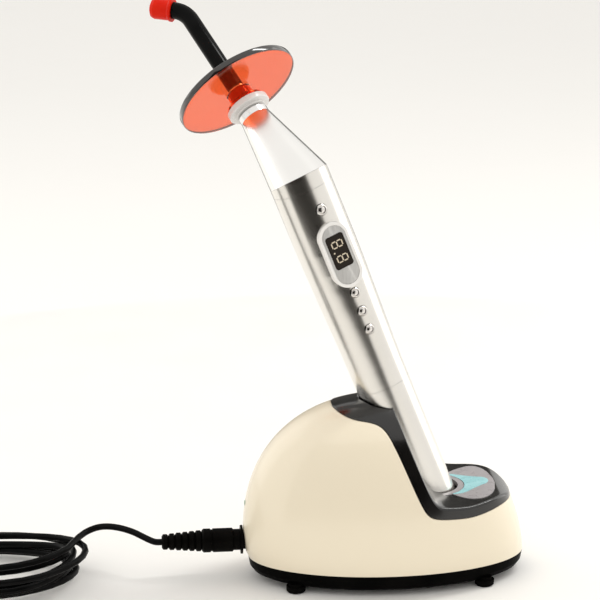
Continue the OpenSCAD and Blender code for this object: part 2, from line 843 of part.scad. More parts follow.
digit_h = 5.2;
digit_w = 2.9;
bar = 0.55;
module digit() {
    for (i = [-1, 0, 1]) translate([i * digit_h / 2 - bar / 2, -digit_w / 2 + bar / 2, 0])
        cube([bar, digit_w - bar, 0.12]);
    for (i = [-1, 1], j = [-1, 1])
        translate([i * digit_h / 4, j * digit_w / 2, 0.06])
            cube([digit_h / 2 - bar - 0.2, bar, 0.12], center = true);
}
module display_digits() {
    color("wheat") on_face(display_at) translate([0, window_at, face_z - 0.05]) {
        for (j = [-1, 1]) translate([0.2, j * 3.5, 0]) digit();
        translate([-digit_h / 2, 0, 0]) cylinder(d = 0.8, h = 0.12, $fn = 16);
    }
}

board_face = head_r - 5.6;   // face of the main board, above the tube's axis
module display_module() {
    color([0.12, 0.12, 0.13]) on_face(display_at) translate([0, window_at, 0])
        slab(round_box(window_wid - 1, window_len - 1, 1), board_face, face_z - window_t - 0.1);
}

// ---- controls: -1 the trigger, 0 to 2 the small buttons ----
function control_s(b) = b < 0 ? trigger_at : button_at - b * button_pitch;
function control_d(b) = b < 0 ? trigger_d : button_d;
press = 0.5;
foot_z = board_face + 2.2;
module control(b) {
    r = control_d(b) / 2;
    top = tube_r(control_s(b));
    color("gainsboro") on_face(control_s(b)) turned([
        [0, foot_z], [r + 0.4, foot_z], [r + 0.4, foot_z + 0.3], [r, foot_z + 0.3],
        [r, top + 0.35], [r - 0.3, top + 0.65], [r * 0.72, top + 0.65], [r * 0.66, top + 0.45],
        [r * 0.5, top + 0.75], [r * 0.25, top + 0.95], [0, top + 1]
    ]);
}
module trigger_button() {
    control(-1);
}
module power_button() {
    control(0);
}
module mode_button() {
    control(1);
}
module time_button() {
    control(2);
}

module switches() {
    color([0.7, 0.7, 0.72]) for (b = [-1 : 2]) on_face(control_s(b)) {
        translate([-2.2, -2.2, board_face]) cube([4.4, 4.4, 1.1]);
        disc(2.2, board_face + 1, foot_z - press - 0.15);
    }
}

board_s0 = tail_len + spigot_len + 6;
board_s1 = trigger_at + 4;
module main_board() {
    color("darkgreen") on_tube() translate([-7, -board_face, board_s0])
        cube([14, 1.2, board_s1 - board_s0]);
}

// ---- light source ----
sink_r = 6.4;
module heat_sink() {
    color("silver") on_nose() turned(concat(
        [[0, 12]],
        [for (i = [0 : 3], e = [0 : 3])
            [e == 0 || e == 3 ? 4.6 : sink_r, 12 + 2.5 * i + [0, 0.01, 1.3, 1.31][e]]],
        [[4.6, 22], [sink_r, 22.01], [sink_r, 24], [0, 24]]
    ));
}

module led_board() {
    color("white") on_nose() {
        disc(14, 24, 25.2);
        translate([-1.6, -1.6, 25.2]) cube([3.2, 3.2, 0.6]);
    }
}

module led_lens() {
    color([0.9, 0.95, 1, 0.6]) on_nose() turned([
        [0, 26.2], [2.2, 26.2], [4, 29], [5.2, 33], [5.2, 34.2], [0, 34.2]
    ]);
}

// ---- light guide ----
rod_r = rod_d / 2;
rod_foot = sleeve_s + 0.5;
clip_top = nose_len - 0.4;
hub_r = rod_r + 0.9;         // spigot of the ferrule on which the shield turns
hub_fit = 0.08;
collar_at = nose_len + 1.8;  // lower face of the ferrule's collar
flange_at = collar_at + 3.2;
module guide_clip() {
    color([0.1, 0.1, 0.1]) on_nose() difference() {
        disc(clip_d, sleeve_s, clip_top);
        disc(rod_d + 2 * rod_fit, sleeve_s - 1, clip_top + 1);
        for (a = [0, 90]) rotate(a) translate([-6, -0.4, clip_top - 5]) cube([12, 0.8, 6]);
    }
}

module guide_ferrule() {
    color("whitesmoke") on_guide() difference() {
        turned([
            [0, nose_len + 0.2], [5.8, nose_len + 0.2], [5.8, nose_len + 0.6], [7.6, nose_len + 0.6],
            [7.6, collar_at], [ferrule_d / 2 - 0.4, collar_at], [ferrule_d / 2, collar_at + 0.4],
            [ferrule_d / 2, flange_at - 0.5], [ferrule_d / 2 - 0.4, flange_at - 0.15],
            [hub_r, flange_at - 0.15], [hub_r, shield_at + shield_t / 2 - 0.3],
            [0, shield_at + shield_t / 2 - 0.3]
        ]);
        disc(rod_d, nose_len - 1, shield_at + 10);
    }
}

rod_sides = 32;
rod_steps = 12;
function rod_line() = concat(
    [[0, 0, rod_foot], [0, 0, rod_end - 1]],
    [for (i = [0 : rod_steps])
        let(a = rod_bend * i / rod_steps)
        [0, rod_bend_r * (cos(a) - 1), rod_end + rod_bend_r * sin(a)]],
    [for (k = [1, rod_tip])
        [0, rod_bend_r * (cos(rod_bend) - 1) - k * sin(rod_bend),
            rod_end + rod_bend_r * sin(rod_bend) + k * cos(rod_bend)]]
);
module guide_rod() {
    color([0.05, 0.05, 0.06]) on_guide() tube_along(rod_line(), rod_r, rod_sides, [1, 0, 0]);
}

module shield_disc() {
    color([1, 0.42, 0.15, 0.85]) on_guide() difference() {
        turned([
            [0, flange_at], [ferrule_d / 2 - 0.6, flange_at], [ferrule_d / 2 - 0.2, flange_at + 0.4],
            [ferrule_d / 2 - 0.2, flange_at + 1.6], [ferrule_d / 2 - 0.8, flange_at + 2],
            [6.2, flange_at + 2], [5.9, shield_at - shield_t / 2],
            [shield_d / 2 - 0.6, shield_at - shield_t / 2],
            [shield_d / 2, shield_at - shield_t / 2 + 0.6],
            [shield_d / 2, shield_at + shield_t / 2 - 0.6],
            [shield_d / 2 - 0.6, shield_at + shield_t / 2], [0, shield_at + shield_t / 2]
        ]);
        disc(2 * (hub_r + hub_fit), nose_len, shield_at + 10);
    }
}

cap_from = 0.6;
cap_fit = 0.06;
cap_end = cap_from + cap_len;
module tip_cap() {
    r = cap_d / 2;
    color([0.9, 0.3, 0.12]) on_tip() turned([
        [rod_r + cap_fit, cap_from], [r + 0.5, cap_from], [r + 0.5, cap_from + 1],
        [r, cap_from + 1.8], [r, cap_end - 2.2], [r - 0.7, cap_end - 0.7], [r - 2.2, cap_end],
        [0, cap_end], [0, max(rod_tip + 0.2, cap_end - 1.4)],
        [rod_r + cap_fit, max(rod_tip + 0.2, cap_end - 1.4)]
    ]);
}

base_shell();
base_tray();
tray_feet();
tray_screws();
ballast_plate();
cradle_insert();
dish_label();
label_motif();
socket_ring();
socket_cup();
contact_block();
charge_pin_centre();
charge_pin_side();
base_board();
board_chips();
board_screws();
dc_jack();
charge_lamp();
plug_barrel();
plug_body();
plug_relief();
cord_lead();
cord_coil();
cord_tail();
adapter_relief();
adapter_case();
adapter_cover();
adapter_pins();
tail_sleeve();
tail_insulator();
tail_contacts();
battery();
battery_spring();
tail_seal();
body_tube();
neck_collar();
nose_cone();
nose_ring();
display_bezel();
display_panel();
display_window();
display_digits();
display_module();
main_board();
switches();
trigger_button();
power_button();
mode_button();
time_button();
heat_sink();
led_board();
led_lens();
guide_clip();
guide_ferrule();
guide_rod();
shield_disc();
tip_cap();
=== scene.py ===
import bpy, math
from mathutils import Vector, Matrix


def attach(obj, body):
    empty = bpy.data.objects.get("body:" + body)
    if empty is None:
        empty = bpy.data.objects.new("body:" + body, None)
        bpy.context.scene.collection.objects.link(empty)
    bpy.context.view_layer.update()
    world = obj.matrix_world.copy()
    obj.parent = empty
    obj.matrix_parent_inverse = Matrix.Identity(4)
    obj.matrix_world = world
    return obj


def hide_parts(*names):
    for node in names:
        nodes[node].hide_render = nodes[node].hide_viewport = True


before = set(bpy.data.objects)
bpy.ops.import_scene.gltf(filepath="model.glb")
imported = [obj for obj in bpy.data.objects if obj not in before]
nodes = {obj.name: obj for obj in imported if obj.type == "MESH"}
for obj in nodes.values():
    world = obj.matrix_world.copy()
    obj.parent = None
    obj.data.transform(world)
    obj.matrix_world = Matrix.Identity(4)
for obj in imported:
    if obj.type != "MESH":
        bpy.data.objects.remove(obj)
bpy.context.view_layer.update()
scene = bpy.context.scene
mm = 0.001

# ---------------------------------------------------------------- frames
# Lengths are in mm, as in part.scad, and turn into metres at the mesh.
LEAN, TURN, BEND = math.radians(21.5), math.radians(17), math.radians(38)
GUIDE_TURN = math.radians(-109)
SEAT_X, SEAT_Z = 25.75, 25
NOSE_AT = 173.2
TUBE = (Matrix.Translation((SEAT_X * mm, 0, SEAT_Z * mm))
        @ Matrix.Rotation(-LEAN, 4, "Y") @ Matrix.Rotation(TURN, 4, "Z"))
NOSE = TUBE @ Matrix.Translation((0, 0, NOSE_AT * mm)) @ Matrix.Rotation(-BEND, 4, "X")
GUIDE = NOSE @ Matrix.Rotation(GUIDE_TURN, 4, "Z")


def mix(a, b, t):
    return a + (b - a) * t


def clamp01(t):
    return max(0.0, min(1.0, t))


def smooth(t):
    t = clamp01(t)
    return t * t * (3 - 2 * t)


# ---------------------------------------------------------------- camera
LOOK_AT = Vector((-0.040, 0, 0.135))
DISTANCE, LENS, SENSOR = 1.203, 156, 36


def camera():
    az, el, roll = math.radians(-5.0), math.radians(15.5), math.radians(-0.26)
    f = Vector((-math.sin(az) * math.cos(el), math.cos(az) * math.cos(el), -math.sin(el)))
    r = f.cross(Vector((0, 0, 1))).normalized()
    u = r.cross(f)
    r, u = r * math.cos(roll) + u * math.sin(roll), u * math.cos(roll) - r * math.sin(roll)
    cam = bpy.data.objects.new("camera", bpy.data.cameras.new("camera"))
    scene.collection.objects.link(cam)
    turned = Matrix((r, u, -f)).transposed().to_4x4()
    cam.matrix_world = Matrix.Translation(LOOK_AT - f * DISTANCE) @ turned
    cam.data.sensor_width, cam.data.lens = SENSOR, LENS
    cam.data.clip_start, cam.data.clip_end = 0.05, 60
    scene.camera = cam


camera()

# ---------------------------------------------------------------- materials
MATS = {}


class Mat:
    """A principled material with its own little node tree."""

    def __init__(self, name, **values):
        self.m = bpy.data.materials.new(name)
        self.m.use_nodes = True
        self.t = self.m.node_tree
        self.b = self.t.nodes["Principled BSDF"]
        self.set(**values)
        MATS[name] = self.m

    def set(self, **values):
        names = {
            "metal": "Metallic", "ior": "IOR", "spec": "Specular IOR Level", "aniso": "Anisotropic",
            "coat": "Coat Weight", "coat_rough": "Coat Roughness", "trans": "Transmission Weight",
            "sss": "Subsurface Weight", "sss_scale": "Subsurface Scale",
            "sss_radius": "Subsurface Radius",
            "glow": "Emission Strength", "glow_color": "Emission Color",
        }
        for k, v in values.items():
            self.b.inputs[names[k]].default_value = v

    def node(self, kind):
        return self.t.nodes.new(kind)

    def link(self, a, b):
        self.t.links.new(a, b)

    def noise(self, size, scale=(1, 1, 1)):
        """Noise whose blotches are about size metres across, in the object's own frame."""
        kinds = "ShaderNodeTexCoord", "ShaderNodeMapping", "ShaderNodeTexNoise"
        c, m, n = (self.node(k) for k in kinds)
        m.inputs["Scale"].default_value = scale
        n.inputs["Scale"].default_value = 1 / size
        n.inputs["Detail"].default_value = 3
        n.inputs["Roughness"].default_value = 0.5
        self.link(c.outputs["Object"], m.inputs["Vector"])
        self.link(m.outputs["Vector"], n.inputs["Vector"])
        return n.outputs["Fac"]

    def ramp(self, fac, a, b):
        r = self.node("ShaderNodeValToRGB")
        for end, place, color in zip(r.color_ramp.elements, (0.35, 0.65), (a, b)):
            end.position, end.color = place, (*color, 1)
        self.link(fac, r.inputs["Fac"])
        return r.outputs["Color"]

    def spread(self, fac, lo, hi):
        r = self.node("ShaderNodeMapRange")
        r.inputs["From Min"].default_value, r.inputs["From Max"].default_value = 0.3, 0.7
        r.inputs["To Min"].default_value, r.inputs["To Max"].default_value = lo, hi
        self.link(fac, r.inputs["Value"])
        return r.outputs["Result"]

    def vary(self, a, b, size, **kw):
        self.link(self.ramp(self.noise(size, **kw), a, b), self.b.inputs["Base Color"])
        return self

    def wear(self, lo, hi, size, **kw):
        self.link(self.spread(self.noise(size, **kw), lo, hi), self.b.inputs["Roughness"])
        return self

    def bump(self, size, strength, distance, **kw):
        n = self.node("ShaderNodeBump")
        n.inputs["Strength"].default_value = strength
        n.inputs["Distance"].default_value = distance
        self.link(self.noise(size, **kw), n.inputs["Height"])
        self.link(n.outputs["Normal"], self.b.inputs["Normal"])
        return self


BLACK = (0.003, 0.0027, 0.0024)


def tone(c, k):
    return tuple(x * k for x in c)


def plain(name, color, rough, grain=0.0006, bump=0.05, spread=0.05, **kw):
    """A moulded or painted surface; the black ones have a low index, so that they stay black."""
    kw.setdefault("ior", 1.09 if max(color) < 0.01 else 1.5)
    (Mat(name, **kw)
     .vary(tone(color, 1 - spread), tone(color, 1 + spread), 0.012)
     .wear(max(0.02, rough - 0.05), rough + 0.05, 0.006)
     .bump(grain, bump, 0.00005))


(Mat("shell_ivory", coat=0.3, coat_rough=0.05, ior=1.5)
 .vary((0.862, 0.770, 0.600), (0.868, 0.777, 0.608), 0.05)
 .wear(0.22, 0.26, 0.02)
 .bump(0.0012, 0.012, 0.00002))

(Mat("tray_satin_black", ior=1.07)
 .vary((0.0015, 0.0015, 0.0014), (0.003, 0.0028, 0.0026), 0.01)
 .wear(0.3, 0.42, 0.004)
 .bump(0.0005, 0.12, 0.00004))

(Mat("insert_gloss_black", spec=0.5, coat=0.4, coat_rough=0.1)
 .vary(BLACK, (0.007, 0.006, 0.0055), 0.015)
 .wear(0.17, 0.22, 0.008)
 .bump(0.0006, 0.05, 0.00003))


def aluminium(name, color=(0.84, 0.815, 0.77), rough=0.23):
    (Mat(name, metal=1.0)
     .vary(tone(color, 0.985), color, 0.02)
     .wear(rough - 0.015, rough + 0.015, 0.02)
     .bump(0.0003, 0.06, 0.00001))


aluminium("aluminium_satin")
aluminium("aluminium_cone", (0.93, 0.92, 0.90), 0.17)
aluminium("aluminium_turned", (0.88, 0.87, 0.86), 0.18)

(Mat("panel_brushed", metal=1.0, aniso=0.6)
 .vary((0.72, 0.71, 0.69), (0.8, 0.79, 0.77), 0.0008, scale=(1, 1, 0.03))
 .wear(0.26, 0.4, 0.0006, scale=(1, 1, 0.03))
 .bump(0.0004, 0.15, 0.00002, scale=(1, 1, 0.03)))

(Mat("chrome_polished", metal=1.0)
 .vary((0.74, 0.71, 0.68), (0.8, 0.77, 0.74), 0.004)
 .wear(0.12, 0.17, 0.002)
 .bump(0.001, 0.02, 0.00002))

(Mat("nickel", metal=1.0)
 .vary((0.72, 0.69, 0.63), (0.8, 0.77, 0.72), 0.005)
 .wear(0.16, 0.26, 0.002)
 .bump(0.0006, 0.05, 0.00002))

(Mat("gold_plated", metal=1.0)
 .vary((0.88, 0.62, 0.25), (0.92, 0.7, 0.33), 0.002)
 .wear(0.16, 0.28, 0.001)
 .bump(0.0005, 0.05, 0.00002))

(Mat("zinc_plated", metal=1.0)
 .vary((0.56, 0.57, 0.6), (0.68, 0.68, 0.68), 0.003)
 .wear(0.25, 0.4, 0.002)
 .bump(0.0006, 0.08, 0.00003))

plain("bezel_white", (0.84, 0.82, 0.79), 0.16, 0.002, 0.02, 0.02, coat=0.3, coat_rough=0.05)
plain("window_black", (0.013, 0.009, 0.006), 0.1, 0.003, 0.01, 0.2, ior=1.25, coat=0.08, coat_rough=0.03)
plain("rubber_black", BLACK, 0.6, 0.0005, 0.2, 0.2)
plain("cup_black", BLACK, 0.5, 0.0008, 0.12, 0.2)
plain("jack_black", BLACK, 0.4, 0.0006, 0.1, 0.2)
plain("chip_black", BLACK, 0.55, 0.0004, 0.15, 0.25)
plain("clip_black", BLACK, 0.45, 0.0005, 0.1, 0.2)
plain("ring_grey", (0.40, 0.38, 0.385), 0.3, 0.0006, 0.05, 0.04, coat=0.2)
plain("switch_grey", (0.35, 0.35, 0.37), 0.5, 0.0005, 0.1, 0.08)
plain("led_ceramic", (0.82, 0.82, 0.8), 0.5, 0.0005, 0.1, 0.04)
plain("ferrule_light", (0.74, 0.72, 0.70), 0.28, 0.0005, 0.04, 0.03, coat=0.3)
plain("adapter_black", BLACK, 0.42, 0.0006, 0.25, 0.2)
plain("lamp_clear", (0.62, 0.76, 0.62), 0.12, 0.001, 0.02, 0.05, trans=0.4)
plain("cell_wrap", (0.03, 0.22, 0.27), 0.3, 0.002, 0.08, 0.1, coat=0.3)

(Mat("board_green", coat=0.2)
 .vary((0.006, 0.06, 0.025), (0.012, 0.10, 0.04), 0.0016)
 .wear(0.22, 0.36, 0.003)
 .bump(0.0008, 0.15, 0.00004))

(Mat("label_silver", coat=0.25, coat_rough=0.1)
 .vary((0.40, 0.375, 0.385), (0.44, 0.415, 0.42), 0.004)
 .wear(0.24, 0.34, 0.003)
 .bump(0.0004, 0.05, 0.00002))

(Mat("label_teal", coat=0.25, coat_rough=0.1)
 .vary((0.34, 0.67, 0.70), (0.42, 0.75, 0.78), 0.005)
 .wear(0.24, 0.34, 0.003)
 .bump(0.0004, 0.05, 0.00002))

(Mat("digit_segments", glow=0.12, glow_color=(0.95, 0.82, 0.6, 1))
 .vary((0.50, 0.42, 0.31), (0.58, 0.50, 0.38), 0.001)
 .wear(0.3, 0.45, 0.001))

(Mat("lens_clear", trans=1.0, ior=1.49)
 .vary((0.93, 0.96, 1.0), (0.97, 0.99, 1.0), 0.003)
 .wear(0.02, 0.06, 0.003))

(Mat("rod_black_glass", coat=0.06, coat_rough=0.02, ior=1.12)
 .vary((0.002, 0.002, 0.002), (0.004, 0.004, 0.004), 0.01)
 .wear(0.05, 0.09, 0.006)
 .bump(0.004, 0.01, 0.00003))

(Mat("shield_orange", trans=0.95, ior=1.45)
 .vary((1.0, 0.145, 0.042), (1.0, 0.158, 0.048), 0.03)
 .wear(0.04, 0.09, 0.01)
 .bump(0.006, 0.01, 0.00005))

# Painted shade: the disc's rim is the same orange acrylic as the disc, and this near-black colour stands
# in for how dark its edge looks in the light.
(Mat("shield_rim_painted_shade", spec=0.5, coat=1.0, coat_rough=0.03)
 .vary((0.006, 0.004, 0.003), (0.014, 0.008, 0.006), 0.004)
 .wear(0.1, 0.16, 0.003)
 .bump(0.001, 0.04, 0.00003))

(Mat("cap_silicone", sss=0.08, sss_scale=0.002, spec=0.12, sss_radius=(1.0, 0.25, 0.1))
 .vary((0.64, 0.010, 0.001), (0.71, 0.016, 0.002), 0.004)
 .wear(0.3, 0.42, 0.002)
 .bump(0.0007, 0.08, 0.00004))

(Mat("cord_black", ior=1.13, coat=0.03, coat_rough=0.08)
 .vary((0.003, 0.003, 0.003), (0.005, 0.005, 0.005), 0.006)
 .wear(0.25, 0.36, 0.004)
 .bump(0.0012, 0.08, 0.00005))

LOOK = {
    "base_shell": "shell_ivory", "base_tray": "tray_satin_black", "tray_feet": "rubber_black",
    "tray_screws": "zinc_plated", "ballast_plate": "zinc_plated", "cradle_insert": "insert_gloss_black",
    "dish_label": "label_silver", "label_motif": "label_teal", "socket_ring": "ring_grey",
    "socket_cup": "cup_black", "contact_block": "cup_black", "charge_pin_centre": "gold_plated",
    "charge_pin_side": "gold_plated", "base_board": "board_green", "board_chips": "chip_black",
    "board_screws": "zinc_plated", "dc_jack": "jack_black", "charge_lamp": "lamp_clear",
    "plug_barrel": "nickel", "plug_body": "jack_black", "plug_relief": "jack_black",
    "adapter_relief": "jack_black", "adapter_case": "adapter_black", "adapter_cover": "adapter_black",
    "adapter_pins": "nickel", "tail_sleeve": "aluminium_satin", "tail_insulator": "cup_black",
    "tail_contacts": "gold_plated", "battery": "cell_wrap", "battery_spring": "nickel",
    "tail_seal": "rubber_black", "body_tube": "aluminium_satin", "neck_collar": "aluminium_satin",
    "nose_cone": "aluminium_cone", "nose_ring": "aluminium_turned", "display_bezel": "bezel_white",
    "display_panel": "panel_brushed", "display_window": "window_black",
    "display_digits": "digit_segments", "display_module": "chip_black", "main_board": "board_green",
    "switches": "switch_grey", "trigger_button": "chrome_polished", "power_button": "chrome_polished",
    "mode_button": "chrome_polished", "time_button": "chrome_polished",
    "heat_sink": "aluminium_turned", "led_board": "led_ceramic", "led_lens": "lens_clear",
    "guide_clip": "clip_black", "guide_ferrule": "ferrule_light", "guide_rod": "rod_black_glass",
    "shield_disc": "shield_orange", "tip_cap": "cap_silicone",
    "cord_lead": "cord_black", "cord_coil": "cord_black", "cord_tail": "cord_black",
}


def paint(obj, name):
    if not obj.material_slots:
        obj.data.materials.append(MATS[name])
    for s in obj.material_slots:
        s.material = MATS[name]


for name, obj in nodes.items():
    paint(obj, LOOK[name])


# ---------------------------------------------------------------- the lead
def route(points, steps):
    """Catmull-Rom through the points, as in the CAD model."""
    out = []
    for i in range(len(points) - 1):
        a, b = points[max(i - 1, 0)], points[i]
        c, d = points[i + 1], points[min(i + 2, len(points) - 1)]
        for s in range(steps):
            t = s / steps
            out.append([
                0.5 * (2 * q + (r - p) * t + (2 * p - 5 * q + 4 * r - w) * t * t
                       + (3 * q - p - 3 * r + w) * t * t * t)
                for p, q, r, w in zip(a, b, c, d)
            ])
    out.append(list(points[-1]))
    return out


CORD_D, CORD_LENGTH, LOWEST = 3.1, 1500, 1.75
COIL = (-188, 10)
EXIT_X = -106.2
JACK_Z = 18.2
LEAD = [(EXIT_X, 0, JACK_Z), (-109.1, 0.15, 18.3), (-112.5, 2.5, 18.9), (-120, 9.5, 20.5),
        (-128, 15.5, 20.8), (-135, 19, 19.8), (-141, 18.5, 18), (-145.4, 13, 17)]
TAIL = [(-236.4, 9, 6), (-237.8, 15.5, 6), (-240.8, 21, 6), (-245, 23.8, 6), (-247.9, 24, 6)]
# half-width, half-depth and height of each turn of the coil, from the top down
TURNS = [(40.5, 25, 14.2), (43.3, 30, 12.0), (37.5, 20, 10.8), (41.6, 32, 8.8), (36.5, 23, 7.0),
         (40.6, 35, 5.2), (43, 27, 3.6), (41, 31, 2.0)]


def coil_points():
    """Six and a half flat loose turns with a wandering centre; the last leads out to the adapter."""
    start, total, n = 7.0, 7.0 + 180 + 6 * 360, 210
    out_rx, out_ry, out_z = 48.4, 40, TAIL[0][2]
    pts = []
    for i in range(1, n + 1):
        turned = total * i / n
        a = math.radians(start - turned)
        k = turned / 360
        j = min(int(k), len(TURNS) - 2)
        f = smooth((k - j - 0.3) / 0.65)
        rx, ry, z = (mix(p, q, f) for p, q in zip(TURNS[j], TURNS[j + 1]))
        wander = 1.3 * math.sin(7.1 * k + 1.0)
        # heaped up at the right end, and one turn strays towards the front
        z += 0.5 * math.sin(5.3 * k) + 0.3 * z * max(0.0, math.cos(a)) ** 2
        stray = 5.0 * math.exp(-((k - 4.2) / 0.17) ** 2)
        cx, cy = COIL[0] + 1.5 * math.sin(1.9 * k), COIL[1] - 6.0 + 5.0 * math.cos(2.3 * k)
        end = smooth((turned - total + 70) / 70)
        cx, cy = mix(cx, COIL[0], end), mix(cy, COIL[1], end)
        rx, ry = mix(rx + wander, out_rx, end), mix(ry + wander + stray, out_ry, end)
        z = max(mix(z, out_z, end), LOWEST)
        pts.append((cx + rx * math.cos(a), cy + ry * math.sin(a), z))
    return pts


def the_cord():
    pts = route(LEAD, 4) + coil_points()[2:-1] + route(TAIL, 4)
    curve = bpy.data.curves.new("lead_cord", "CURVE")
    curve.dimensions = "3D"
    sp = curve.splines.new("POLY")
    sp.points.add(len(pts) - 1)
    for p, q in zip(sp.points, pts):
        p.co = (q[0] * mm, q[1] * mm, q[2] * mm, 1)
    curve.bevel_depth = CORD_D / 2 * mm
    curve.bevel_resolution = 5
    curve.use_fill_caps = True
    obj = bpy.data.objects.new("lead_cord", curve)
    scene.collection.objects.link(obj)
    curve.materials.append(MATS["cord_black"])
    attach(obj, "base")
    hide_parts("cord_lead", "cord_coil", "cord_tail")


the_cord()


# ---------------------------------------------------------------- shapes of the base
REAR, FRONT, HALF, HUMP, BELT, SEAM = 67.7, 66.0, 36.5, 88.0, 20.0, 10.3
TIP, BEAK, DISH, BAND, CROWN = 58.9, -25.6, 41.6, 5.3, 81.3
TUBE_BORE, RING_BORE, WALL, EASE_GAP = 27.2, 34.9, 2.2, 0.3
JACK_BORE, LAMP_BORE, LAMP_Z = 9.4, 3.0, 36.5
SQUARENESS = 2.3
TAN = math.tan(LEAN)


def soft(a, b, k, sign):
    """The larger (sign 1) or smaller (sign -1) of a and b, blended over a width k."""
    return (a + b + sign * math.sqrt((a - b) ** 2 + k * k)) / 2


def draw_in(z, inset=0):
    """How wide the shell is at height z, as a share of its width at the belt."""
    if z < BELT:
        return 1 - 0.036 * ((BELT - z) / (BELT - SEAM)) ** 2
    return max(0.0, 1 - ((z - BELT) / (HUMP - BELT - inset)) ** SQUARENESS) ** (1 / SQUARENESS)


def corner(z):
    """Power of the superellipse that the plan view follows ahead of the middle."""
    return 2 + 0.7 * clamp01((z - SEAM) / 32)


def lean_back(z):
    """How far the front has drawn back at height z."""
    return 6.9 * max(0.0, (z - SEAM) / 28.6) ** 1.6


def half_y(x, z):
    n = corner(z) if x > 0 else 2
    a = FRONT - lean_back(z) if x > 0 else REAR * draw_in(z)
    return HALF * draw_in(z) * max(0.0, 1 - (abs(x) / max(a, 0.01)) ** n) ** (1 / n)


def slope_z(x, shift):
    """The plane along the handpiece, moved back by shift."""
    return SEAT_Z + (SEAT_X - shift - x) / TAN


def dish(x):
    """The dish's floor, rising a little and then rolling over the front lip."""
    return DISH + 1.6 * smooth((x - 34) / 16) - 4.2 * clamp01((x - 50) / (TIP - 49)) ** 2.2


def band(x):
    """The depth of the insert's dark band, which thins to nothing at the tip."""
    return BAND * (1 - clamp01((x - 36) / (TIP - 35)) ** 4)


def joint_z(x):
    """Where shell and insert meet."""
    crown = CROWN + 0.018 * max(0.0, -13 - x) ** 2
    return soft(soft(slope_z(x, BAND / math.cos(LEAN)), crown, 11, -1), dish(x) - band(x), 8, 1)


def insert_top(x):
    hump = BELT + (HUMP - BELT) * (1 - (max(0.0, -x) / REAR) ** SQUARENESS) ** (1 / SQUARENESS)
    return soft(soft(slope_z(x, 0), dish(x), 8, 1), hump, 2, -1)


def mesh_object(name, verts, faces, mats, body, *nodes_replaced):
    me = bpy.data.meshes.new(name)
    me.from_pydata([tuple(c * mm for c in v) for v in verts], [], faces)
    me.validate()
    obj = bpy.data.objects.new(name, me)
    scene.collection.objects.link(obj)
    for m in mats:
        me.materials.append(MATS[m])
    if body:
        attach(obj, body)
    if nodes_replaced:
        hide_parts(*nodes_replaced)
    return obj


def bore(name, d, low, high, flat):
    """A cylinder along the handpiece's axis; flat ends on level planes if asked."""
    n = 128
    axis = Vector((-math.sin(LEAN), 0, math.cos(LEAN)))
    e1, e2 = Vector((math.cos(LEAN), 0, math.sin(LEAN))), Vector((0, 1, 0))
    seat = Vector((SEAT_X, 0, SEAT_Z))
    verts = []
    for end in (low, high):
        for i in range(n):
            a = 2 * math.pi * i / n
            p = seat + (e1 * math.cos(a) + e2 * math.sin(a)) * d / 2
            t = (end - p.z) / axis.z if flat else end
            verts.append(p + axis * t)
    faces = [(i, (i + 1) % n, n + (i + 1) % n, n + i) for i in range(n)]
    faces += [tuple(range(n - 1, -1, -1)), tuple(range(n, 2 * n))]
    return mesh_object(name, verts, faces, [], None)


def cut(obj, cutters):
    for c in cutters:
        mod = obj.modifiers.new(c.name, "BOOLEAN")
        mod.operation, mod.solver, mod.object = "DIFFERENCE", "EXACT", c
    dg = bpy.context.evaluated_depsgraph_get()
    me = bpy.data.meshes.new_from_object(obj.evaluated_get(dg))
    obj.modifiers.clear()
    obj.data = me
    for c in cutters:
        bpy.data.objects.remove(c, do_unlink=True)


def shade(obj, angle=32):
    obj.data.shade_smooth()
    for o in bpy.context.selected_objects:
        o.select_set(False)
    bpy.context.view_layer.objects.active = obj
    obj.select_set(True)
    bpy.ops.object.shade_smooth_by_angle(angle=math.radians(angle))


def saddle():
    """The cradle insert with a rounded rim, finer than its CAD solid."""
    cols, side, arc, top = 150, 7, 7, 14
    rings = []
    for i in range(cols + 1):
        t = i / cols
        x = mix(BEAK, TIP + 0.02, mix(t, math.sin(math.pi / 2 * t), 0.8))
        low = max(joint_z(x), joint_z(x - EASE_GAP)) + EASE_GAP
        high = max(insert_top(x), low + 0.5)
        rc = min(1.5, 0.8 * (high - low))
        half = []
        for j in range(side + 1):
            z = mix(low, high - rc, j / side)
            half.append((max(0.4, half_y(x, z)), z))
        y1 = half[-1][0]
        y2 = max(0.2, min(half_y(x, high), y1) - rc * min(1.0, y1 / 6))
        for j in range(1, arc + 1):
            a = math.pi / 2 * j / arc
            half.append((mix(y2, y1, math.cos(a)), high - rc + rc * math.sin(a)))
        for j in range(1, top + 1):
            half.append((y2 * (1 - j / top), high))
        ring = [(x, -y, z) for y, z in half] + [(x, y, z) for y, z in reversed(half[:-1])]
        rings.append(ring)
    n = len(rings[0])
    verts = [v for r in rings for v in r]
    faces = [(i * n + j, i * n + (j + 1) % n, (i + 1) * n + (j + 1) % n, (i + 1) * n + j)
             for i in range(cols) for j in range(n)]
    faces += [tuple(range(n - 1, -1, -1)), tuple(cols * n + k for k in range(n))]
    obj = mesh_object("cradle_saddle", verts, faces, ["insert_gloss_black"], "base", "cradle_insert")
    cut(obj, [bore("cut_tube", TUBE_BORE, -6, 120, False),
              bore("cut_ring", RING_BORE, DISH - 59.1, DISH + 0.9, True)])
    shade(obj, 40)


saddle()


def edge_point(z, a, inset):
    """The point at angle a on the shell's outline at height z, set in by inset."""
    c, s = math.cos(a), math.sin(a)
    n = corner(z) if c > 0 else 2
    ax = FRONT - inset - lean_back(z) if c > 0 else (REAR - inset) * draw_in(z, inset)
    ay = (HALF - inset) * draw_in(z, inset)
    return (math.copysign(ax * abs(c) ** (2 / n), c), math.copysign(ay * abs(s) ** (2 / n), s), z)


